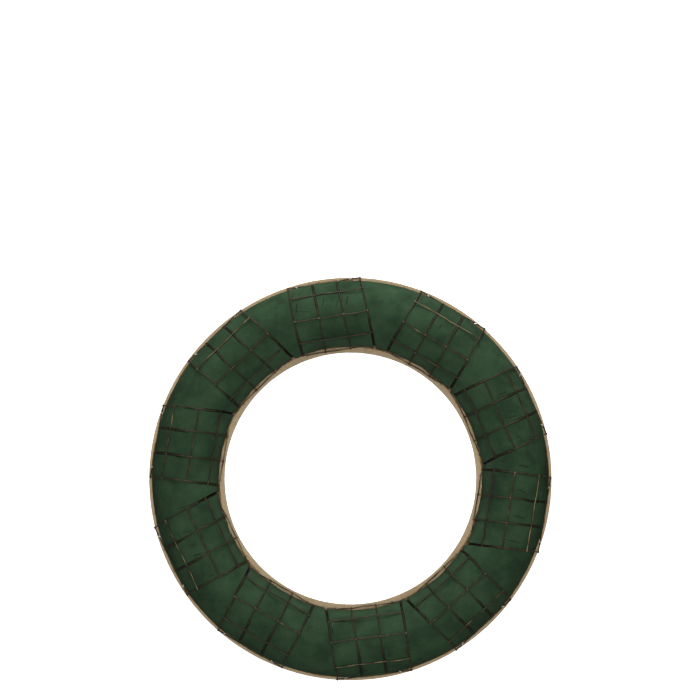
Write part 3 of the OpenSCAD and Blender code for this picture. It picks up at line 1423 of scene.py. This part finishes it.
@dataclass
class MeshStrap:
    """One strap of welded wire mesh, bent over the foam."""

    number: int
    layout: MeshLayout
    material: bpy.types.Material
    # Strength of the painted highlight along each rail, from the outermost inwards.
    rubbed: tuple[float, float, float, float, float]
    sides: int = 12
    arc_steps: int = 40
    rail_steps: int = 30
    kink: float = 0.1
    kink_low: float = 0.12
    bead_rings: int = 6
    bead_spokes: int = 8
    bead_width: float = 1.55
    bead_sink: float = 0.35
    most_bare: float = 1.3

    @property
    def lay(self) -> Lay:
        """How this strap was laid."""
        return LAYS[self.number - 1]

    def _arch_path(self, i: int) -> np.ndarray:
        """Middle line of an arch: a flat end, a bend, the arc, and the same again.

        Args:
            i: Number of the arch.

        Returns:
            Points in the ring's frame.
        """
        start, out, _ = self.layout.arch_axes(self.lay, i)
        half, low, turn = self.layout.half, self.layout.foot_z, self.layout.foot_angle
        bend = self.layout.bend_r
        corner = np.linspace(1.5 * math.pi, math.pi + turn, 7)
        foot = [(half + self.layout.stub, low)]
        foot += [(half + bend * math.cos(a), low + bend + bend * math.sin(a)) for a in corner]
        arc = np.linspace(turn, math.pi - turn, self.arc_steps)[1:-1]
        radius, middle = self.layout.arch_r, self.layout.arch_z
        flat = foot + [(radius * math.cos(a), middle + radius * math.sin(a)) for a in arc]
        flat += [(-run, rise) for run, rise in reversed(foot)]
        path = np.array([start + run * out + np.array([0, 0, rise]) for run, rise in flat])
        return self.layout.to_ring(self.lay, path)

    def _rail_path(self, j: int) -> np.ndarray:
        """Middle line of a rail, with a slight kink at each crossing.

        Args:
            j: Number of the rail.

        Returns:
            Points in the ring's frame.
        """
        start, along, _, away = self.layout.rail_axes(self.lay, j)
        low, high = self.layout.ends(self.lay)
        places = np.linspace(low, high, self.rail_steps)
        path = start + np.outer(places, along)
        if 0 < j < self.layout.rails - 1:
            phase = places / self.layout.pitch * TAU
            path += np.outer(self.kink * np.cos(phase) - self.kink_low, away)
        return self.layout.to_ring(self.lay, path)

    def _weld(self, i: int, j: int) -> tuple[np.ndarray, list[list[int]]]:
        """The flattened bead of metal where an arch and a rail are welded.

        Args:
            i: Number of the arch.
            j: Number of the rail.

        Returns:
            The points and faces of the bead, in the ring's frame.
        """
        start, along, around, away = self.layout.rail_axes(self.lay, j)
        arch, _, normal = self.layout.arch_axes(self.lay, i)
        place = ((arch - start) @ normal) / (along @ normal)
        middle = start + place * along - self.bead_sink * self.layout.bend_r * away
        wide, tall = self.bead_width * self.layout.wire_r, self.layout.wire_r
        rings, spokes = self.bead_rings, self.bead_spokes
        points = [middle + tall * away]
        for a in range(1, rings):
            lift, spread = math.cos(math.pi * a / rings), math.sin(math.pi * a / rings)
            for b in range(spokes):
                turn = TAU * b / spokes
                flat = math.cos(turn) * along + math.sin(turn) * around
                points.append(middle + tall * lift * away + wide * spread * flat)
        points.append(middle - tall * away)
        faces = [[0, 1 + b, 1 + (b + 1) % spokes] for b in range(spokes)]
        for a in range(rings - 2):
            low, high = 1 + a * spokes, 1 + (a + 1) * spokes
            faces += [
                [low + b, high + b, high + (b + 1) % spokes, low + (b + 1) % spokes]
                for b in range(spokes)
            ]
        last = 1 + (rings - 2) * spokes
        faces += [[last + b, len(points) - 1, last + (b + 1) % spokes] for b in range(spokes)]
        return self.layout.to_ring(self.lay, np.array(points)), faces

    def build(self) -> bpy.types.Object:
        """Makes the strap.

        Returns:
            The piece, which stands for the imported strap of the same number.
        """
        parts = Parts()
        outline = round_outline(self.layout.wire_r, self.sides)
        turn = math.radians(self.lay.direction - 90 + self.lay.lean)
        side = np.array([math.cos(turn), math.sin(turn), 0])
        for i in range(self.layout.arches):
            path, scale = cut_ends(self._arch_path(i), self.layout.wire_r)
            points, faces = sweep(path, side, outline, scale)
            # A faint, patchy painted highlight on the arches.
            bare = 0.05 + 0.15 * ripple(points, 14, Seed.ARCH + self.number * 10 + i)
            parts.add(settle(points), faces, rubbed=np.clip(bare, 0, 1))
        for j in range(self.layout.rails):
            path, scale = cut_ends(self._rail_path(j), self.layout.wire_r)
            up = np.array([0.0, 0.0, 1.0])
            points, faces = sweep(path, up, outline, scale)
            # The painted highlight on a rail is kept to the top of the wire, where light glints.
            middle = points.reshape(len(path), -1, 3).mean(1).repeat(len(outline), 0)
            crest = ease((points - middle)[:, 2] / self.layout.wire_r, 0.5, 1)
            bare = self.rubbed[j] + 0.28 * ripple(points, 16, Seed.RAIL + self.number * 10 + j)
            parts.add(settle(points), faces, rubbed=np.clip(bare, 0, 1) * crest)
        rng = np.random.default_rng(Seed.WELD + self.number)
        for i in range(self.layout.arches):
            for j in range(self.layout.rails):
                points, faces = self._weld(i, j)
                # Painted glints on the welds: bright on the middle rail, faint on the others.
                on_crown = j == self.layout.rails // 2
                bare = rng.uniform(0.5, 1.6) if on_crown else rng.uniform(0, 0.6)
                parts.add(settle(points), faces, rubbed=min(bare, self.most_bare))
        return parts.build(f"wire_mesh_strap_{self.number:02d}", self.material, crease=60)


@dataclass
class StapleSet:
    """The four staples of one strap."""

    number: int
    layout: MeshLayout
    material: bpy.types.Material
    width: float = 5
    wire: float = 0.7
    bite: float = 4
    from_arch: float = 10
    inner_x: float = 30
    corner: float = 0.55
    edge_cut: float = 0.28
    point: float = 0.35
    # How far the inner staples are darkened by painted shade.
    dirty: float = 0.9

    @property
    def top(self) -> float:
        """Height of the crown's upper side."""
        layout = self.layout
        return layout.foot_z + layout.bend_r + layout.wire_r + layout.gap + self.wire

    def _path(self) -> np.ndarray:
        """Middle line of a staple that stands at the origin: leg, crown, leg.

        Returns:
            The points, from one leg's tip to the other's.
        """
        reach = (self.width - self.wire) / 2
        high = self.top - self.wire / 2
        low = self.layout.ring.board_top - self.bite
        bend = np.linspace(0, math.pi / 2, 5)
        inner, under = reach - self.corner, high - self.corner
        leg = [(reach, low), (reach, low + 0.8), (reach, under - 0.6)]
        leg += [
            (inner + self.corner * math.cos(a), under + self.corner * math.sin(a)) for a in bend
        ]
        both = leg + [(0.6, high + 0.02), (-0.6, high + 0.02)]
        both += [(-x, z) for x, z in reversed(leg)]
        return np.array([(x, 0, z) for x, z in both])

    def build(self) -> bpy.types.Object:
        """Makes the four staples.

        Returns:
            The piece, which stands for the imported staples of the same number.
        """
        lay = LAYS[self.number - 1]
        lean = math.radians(lay.lean)
        turn = self.layout.follow * lean
        reach = (self.width - self.wire) / 2
        off = self.layout.wire_r + self.layout.gap + self.wire / math.sqrt(2)
        slant = math.asin(off / reach)
        cut, half = self.edge_cut * self.wire, self.wire / 2
        flat = [(half, half - cut), (half - cut, half)]
        outline = np.array(
            [(x, y) for x, y in flat]
            + [(-y, x) for x, y in flat]
            + [(-x, -y) for x, y in flat]
            + [(y, -x) for x, y in flat]
        )
        path = self._path()
        scale = np.ones(len(path))
        scale[[0, -1]] = self.point
        parts = Parts()
        for edge in Edge:
            for end in (-1, 1):
                if edge is Edge.RIM:
                    along = end * (self.layout.width / 2 - self.from_arch)
                else:
                    along = end * self.inner_x - self.layout.half * math.sin(lean)
                points, faces = sweep(path, np.array([0.0, 1.0, 0.0]), outline, scale)
                angle = end * slant + turn
                c, s = math.cos(angle), math.sin(angle)
                x, y = points[:, 0] * c - points[:, 1] * s, points[:, 0] * s + points[:, 1] * c
                out = edge * self.layout.half
                x = x - out * math.sin(lean) + along * math.cos(turn)
                y = y + out * math.cos(lean) + along * math.sin(turn)
                placed = self.layout.to_ring(lay, np.stack([x, y, points[:, 2]], 1))
                # Painted shade darkens the inner staples at the foam's foot; the rim ones stay
                # bright.
                dirt = 0.0 if edge is Edge.RIM else self.dirty
                parts.add(settle(placed), faces, stained=dirt)
        return parts.build(f"staples_of_strap_{self.number:02d}", self.material, crease=30)


# ------------------------------------------------------------- board and glue


@dataclass
class BaseBoard:
    """The sawn ring of wood-fibre board."""

    ring: RingSizes
    finish: FibreBoard
    round_over: float = 0.45
    turns: int = 720
    saw_marks: float = 0.1
    sawn_shade: float = 0.75

    def build(self) -> bpy.types.Object:
        """Makes the board.

        Returns:
            The piece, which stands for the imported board.
        """
        low, high = 0.0, self.ring.board_top
        inner, outer, cut = self.ring.board_in, self.ring.board_out, self.round_over
        wall = np.linspace(low + cut, high - cut, 5)
        corner = np.linspace(0, math.pi / 2, 4)
        profile = [(outer, z) for z in wall[:-1]]
        profile += [
            (outer - cut + cut * math.cos(a), high - cut + cut * math.sin(a)) for a in corner
        ]
        profile += [(r, high) for r in np.linspace(outer - 2 * cut, inner + 2 * cut, 14)]
        profile += [
            (inner + cut - cut * math.sin(a), high - cut + cut * math.cos(a)) for a in corner
        ]
        profile += [(inner, z) for z in wall[::-1][1:]]
        profile += [(inner + cut, low), (outer - cut, low)]
        shape = np.array(profile)
        walls = (np.minimum(shape[:, 0] - inner, outer - shape[:, 0]) < cut * 1.1).astype(float)
        angles = np.arange(self.turns) * TAU / self.turns
        circle = np.stack([np.cos(angles), np.sin(angles)], 1)
        wobble = np.zeros((self.turns, len(shape)))
        for k in range(len(shape)):
            radius = shape[k, 0]
            place = np.column_stack([circle * radius, np.full(self.turns, shape[k, 1])])
            inward = 1 if radius < (inner + outer) / 2 else -1
            rough = np.abs(ripple(place, 5, Seed.SAW_CUT)) * self.saw_marks
            wobble[:, k] = inward * rough * walls[k]
        points, faces = revolve(shape, self.turns, wobble)
        sawn = np.tile(walls * (shape[:, 1] < high - cut * 0.3), self.turns)
        parts = Parts()
        parts.add(points, faces, sawn=self.sawn_shade * sawn)
        return parts.build("fibre_base_board", self.finish.make(), crease=40)


@dataclass
class GlueLine:
    """The film of glue under the foam and the beads that were squeezed out beside it."""

    ring: RingSizes
    finish: AmberGlue
    turns: int = 900
    bead: float = 0.75
    ledge: float = 0.01

    def build(self) -> bpy.types.Object:
        """Makes the glue.

        Returns:
            The piece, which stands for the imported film.
        """
        low, high = self.ring.board_top + self.ledge, self.ring.foam_low
        angles = np.arange(self.turns) * TAU / self.turns
        circle = np.stack([np.cos(angles), np.sin(angles)], 1)
        outer = self._swell(circle * self.ring.foam_out, Seed.OUTER_BEAD)
        inner = self._swell(circle * self.ring.foam_in, Seed.INNER_BEAD)
        columns = []
        for step in range(self.turns):
            out, into = outer[step], inner[step]
            section = [
                (self.ring.foam_out + out, low),
                (self.ring.foam_out + 0.8 * out, low + 0.45 * out),
                (self.ring.foam_out + 0.25 * out, high + 0.55 * out),
                (self.ring.foam_out - 1.2, high + 0.3 * out),
                (self.ring.foam_out - 4, high - 0.02),
                (self.ring.foam_in + 4, high - 0.02),
                (self.ring.foam_in + 1.2, high + 0.3 * into),
                (self.ring.foam_in - 0.25 * into, high + 0.55 * into),
                (self.ring.foam_in - 0.8 * into, low + 0.45 * into),
                (self.ring.foam_in - into, low),
            ]
            columns += [(r * circle[step, 0], r * circle[step, 1], z) for r, z in section]
        parts = Parts()
        parts.add(settle(np.array(columns)), torus_faces(self.turns, 10))
        return parts.build("glue_film_and_beads", self.finish.make(), crease=60)

    def _swell(self, places: np.ndarray, seed: int) -> np.ndarray:
        """Width of the bead at each place: fat in spots, and nearly nothing between."""
        swell = 0.35 + 0.5 * ripple(places, 40, seed) + 0.25 * ripple(places, 9, seed + 1)
        return self.bead * np.clip(swell, 0.12, 1)


# --------------------------------------------------------------------- studio


@dataclass
class Studio:
    """The white table, the lights and the camera."""

    ring: RingSizes
    tilt: float = 3.6
    distance: float = 3000
    sensor: float = 36
    lens: float = 155.3
    aim_left: float = 0.4
    aim_up: float = 127.25
    ambient: float = 0.2
    table_size: float = 9000
    table_drop: float = 0.05
    table_thick: float = 20
    table_sides: int = 64

    def set_table(self) -> None:
        """Lays the table top under the board."""
        n = self.table_sides
        outline = round_outline(self.table_size, n)
        top = np.column_stack([outline, np.full(n, -self.table_drop)])
        under = np.column_stack([outline, np.full(n, -self.table_thick)])
        faces = [list(range(n)), list(range(2 * n - 1, n - 1, -1))]
        faces += [[n + k, n + (k + 1) % n, (k + 1) % n, k] for k in range(n)]
        parts = Parts()
        parts.add(np.concatenate([top, under]), faces)
        table = parts.build("white_table", WhiteTable().make())
        table.visible_diffuse = False
        table.visible_glossy = False

    def set_lights(self) -> None:
        """Hangs the soft lights in a dim white room: the strongest above the top edge."""
        world = bpy.data.worlds.new("white_room")
        world.use_nodes = True
        world.node_tree.nodes.clear()
        glow = add_node(
            world.node_tree,
            "ShaderNodeBackground",
            values={"Color": to_linear("#FFFFFF"), "Strength": self.ambient},
        )
        add_node(world.node_tree, "ShaderNodeOutputWorld", links={"Surface": glow.outputs[0]})
        bpy.context.scene.world = world
        self._hang("softbox_low", (0.05, 1.3, 0.14), 0.24, 10)
        self._hang("softbox_top", (-0.05, 1.05, 0.9), 0.8, 6)
        self._hang("softbox_front", (0.0, -0.9, 1.5), 1.2, 9)
        self._hang("softbox_overhead", (0.0, 0.3, 2.4), 1.0, 13)

    @staticmethod
    def _hang(name: str, place: tuple[float, float, float], size: float, power: float) -> None:
        """Hangs a square soft light that faces the ring.

        Args:
            name: Name of the light.
            place: Where it hangs, in metres.
            size: Length of its side, in metres.
            power: Its power in watts.
        """
        lamp = bpy.data.lights.new(name, "AREA")
        lamp.shape = "SQUARE"
        lamp.size = size
        lamp.energy = power
        light = bpy.data.objects.new(name, lamp)
        light.location = place
        light.rotation_euler = (-Vector(place)).to_track_quat("-Z", "Y").to_euler()
        bpy.context.scene.collection.objects.link(light)

    def set_camera(self) -> None:
        """Stands the camera nearly straight above the ring, aimed past its top edge."""
        lens = bpy.data.cameras.new("camera")
        lens.lens = self.lens
        lens.sensor_width = self.sensor
        lens.clip_end = 100
        camera = bpy.data.objects.new("camera", lens)
        tilt = math.radians(self.tilt)
        away = Vector((0, -math.sin(tilt), math.cos(tilt)))
        up = Vector((0, math.cos(tilt), math.sin(tilt)))
        centre = Vector((-self.aim_left, 0, self.ring.board_top))
        target = (centre + up * self.aim_up) * MM
        camera.location = target + away * self.distance * MM
        camera.rotation_euler = (tilt, 0, 0)
        bpy.context.scene.collection.objects.link(camera)
        bpy.context.scene.camera = camera
        bpy.context.scene.view_settings.view_transform = "Standard"


# ----------------------------------------------------------------------- main

# Strength of the painted highlight along the tops of the rails of each strap, from the outermost
# rail inwards.
RUBBED_RAILS = [
    (0.1, 0.2, 0.1, 0.05, 0.5),
    (0.1, 0.75, 0.25, 0.2, 0.4),
    (0.1, 0.15, 0.15, 0.05, 0.4),
    (0.1, 0.5, 0.1, 0.1, 0.5),
    (0.1, 0.45, 0.1, 0.2, 0.7),
    (0.1, 0.6, 0.1, 0.15, 0.7),
    (0.1, 0.25, 0.1, 0.15, 0.5),
    (0.1, 0.35, 0.1, 0.1, 0.5),
    (0.1, 0.35, 0.2, 0.15, 0.5),
    (0.1, 0.5, 0.3, 0.2, 0.5),
]

# Slits that were left in the foam when the mesh was pressed on and slid into place, each drawn as
# a sliver of painted shade.
SLITS = [
    Slit(0, -17.5, 9.4, 8.3, -9, 0.6),
    Slit(0, 1.9, 11.0, 6.7, -25, 0.5),
    Slit(0, 7.3, 8.3, 10.5, -7, 0.6),
    Slit(0, 27.8, 5.7, 6.7, -52, 0.5),
    Slit(0, 32.7, 5.4, 8.3, -8, 0.4),
    Slit(0, -54.0, 20.9, 5.2, 1, 0.4),
    Slit(1, -31.7, 27.3, 6.4, 5, 0.7),
    Slit(1, -1.5, 11.5, 7.0, -7, 0.8),
    Slit(1, 31.6, 25.7, 4.5, -24, 0.7),
    Slit(1, 31.0, 7.6, 5.1, 3, 0.3),
    Slit(2, -31.0, 11.3, 13.3, -18, 0.9),
    Slit(2, -5.1, 13.4, 10.1, -20, 0.8),
    Slit(2, 8.6, 10.6, 10.3, -29, 0.5),
    Slit(2, 19.0, 11.9, 10.9, -17, 0.9),
    Slit(2, -25.6, 7.3, 13.9, 78, 0.4),
    Slit(4, 33.6, 6.4, 10.6, -1, 0.7),
    Slit(4, 9.9, 10.0, 16.3, -2, 0.8),
    Slit(4, -13.9, 11.5, 16.8, -10, 0.8),
    Slit(4, -40.1, 5.9, 15.4, 2, 0.6),
    Slit(4, 42.2, 22.4, 6.0, 28, 0.5),
    Slit(5, 41.0, 1.6, 10.7, -16, 0.5),
    Slit(5, 17.5, 5.4, 10.7, -18, 0.7),
    Slit(5, 3.4, 8.1, 8.4, -24, 0.6),
    Slit(5, -7.1, 6.6, 9.5, -12, 0.9),
    Slit(5, -32.4, 2.9, 5.8, -15, 0.7),
    Slit(6, -5.9, 8.7, 5.9, -13, 0.5),
    Slit(6, 32.5, 1.2, 11.1, 0, 0.6),
    Slit(7, 32.5, -17.7, 14.1, 5, 0.9),
    Slit(9, -44.3, 5.1, 11.3, -9, 0.9),
    Slit(9, -19.7, 7.1, 10.7, -11, 0.9),
    Slit(9, 5.5, 8.3, 12.8, -9, 0.9),
    Slit(9, 30.6, 6.9, 13.7, -8, 0.8),
]


def main() -> None:
    """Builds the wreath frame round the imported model, then the studio."""
    logging.basicConfig(level=logging.INFO, format="%(name)s: %(message)s")
    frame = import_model()
    ring = RingSizes.read(frame["nodes"])
    layout = MeshLayout(ring)
    stands_for: list[tuple[bpy.types.Object, str, str]] = []

    board = BaseBoard(ring, FibreBoard()).build()
    stands_for.append((board, "base_board", "fibre_board"))
    glue = GlueLine(ring, AmberGlue()).build()
    stands_for.append((glue, "foam_glue", "glue"))
    foam = FoamRing(ring, layout, PhenolicFoam(), SLITS).build()
    stands_for.append((foam, "foam_ring", "floral_foam"))
    wire, steel = LacqueredWire().make(), GalvanisedSteel().make()
    for number, rubbed in enumerate(RUBBED_RAILS, start=1):
        strap = MeshStrap(number, layout, wire, rubbed).build()
        stands_for.append((strap, f"mesh_strap_{number:02d}", "mesh_wire"))
        staples = StapleSet(number, layout, steel).build()
        stands_for.append((staples, f"strap_staples_{number:02d}", "staple_steel"))

    for piece, node, slot in stands_for:
        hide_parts(node)
        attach(piece, "root")
        LOG.info("%s stands for %s, %d faces", piece.name, node, len(piece.data.polygons))

    studio = Studio(ring)
    studio.set_table()
    studio.set_lights()
    studio.set_camera()


if __name__ == "__main__":
    main()
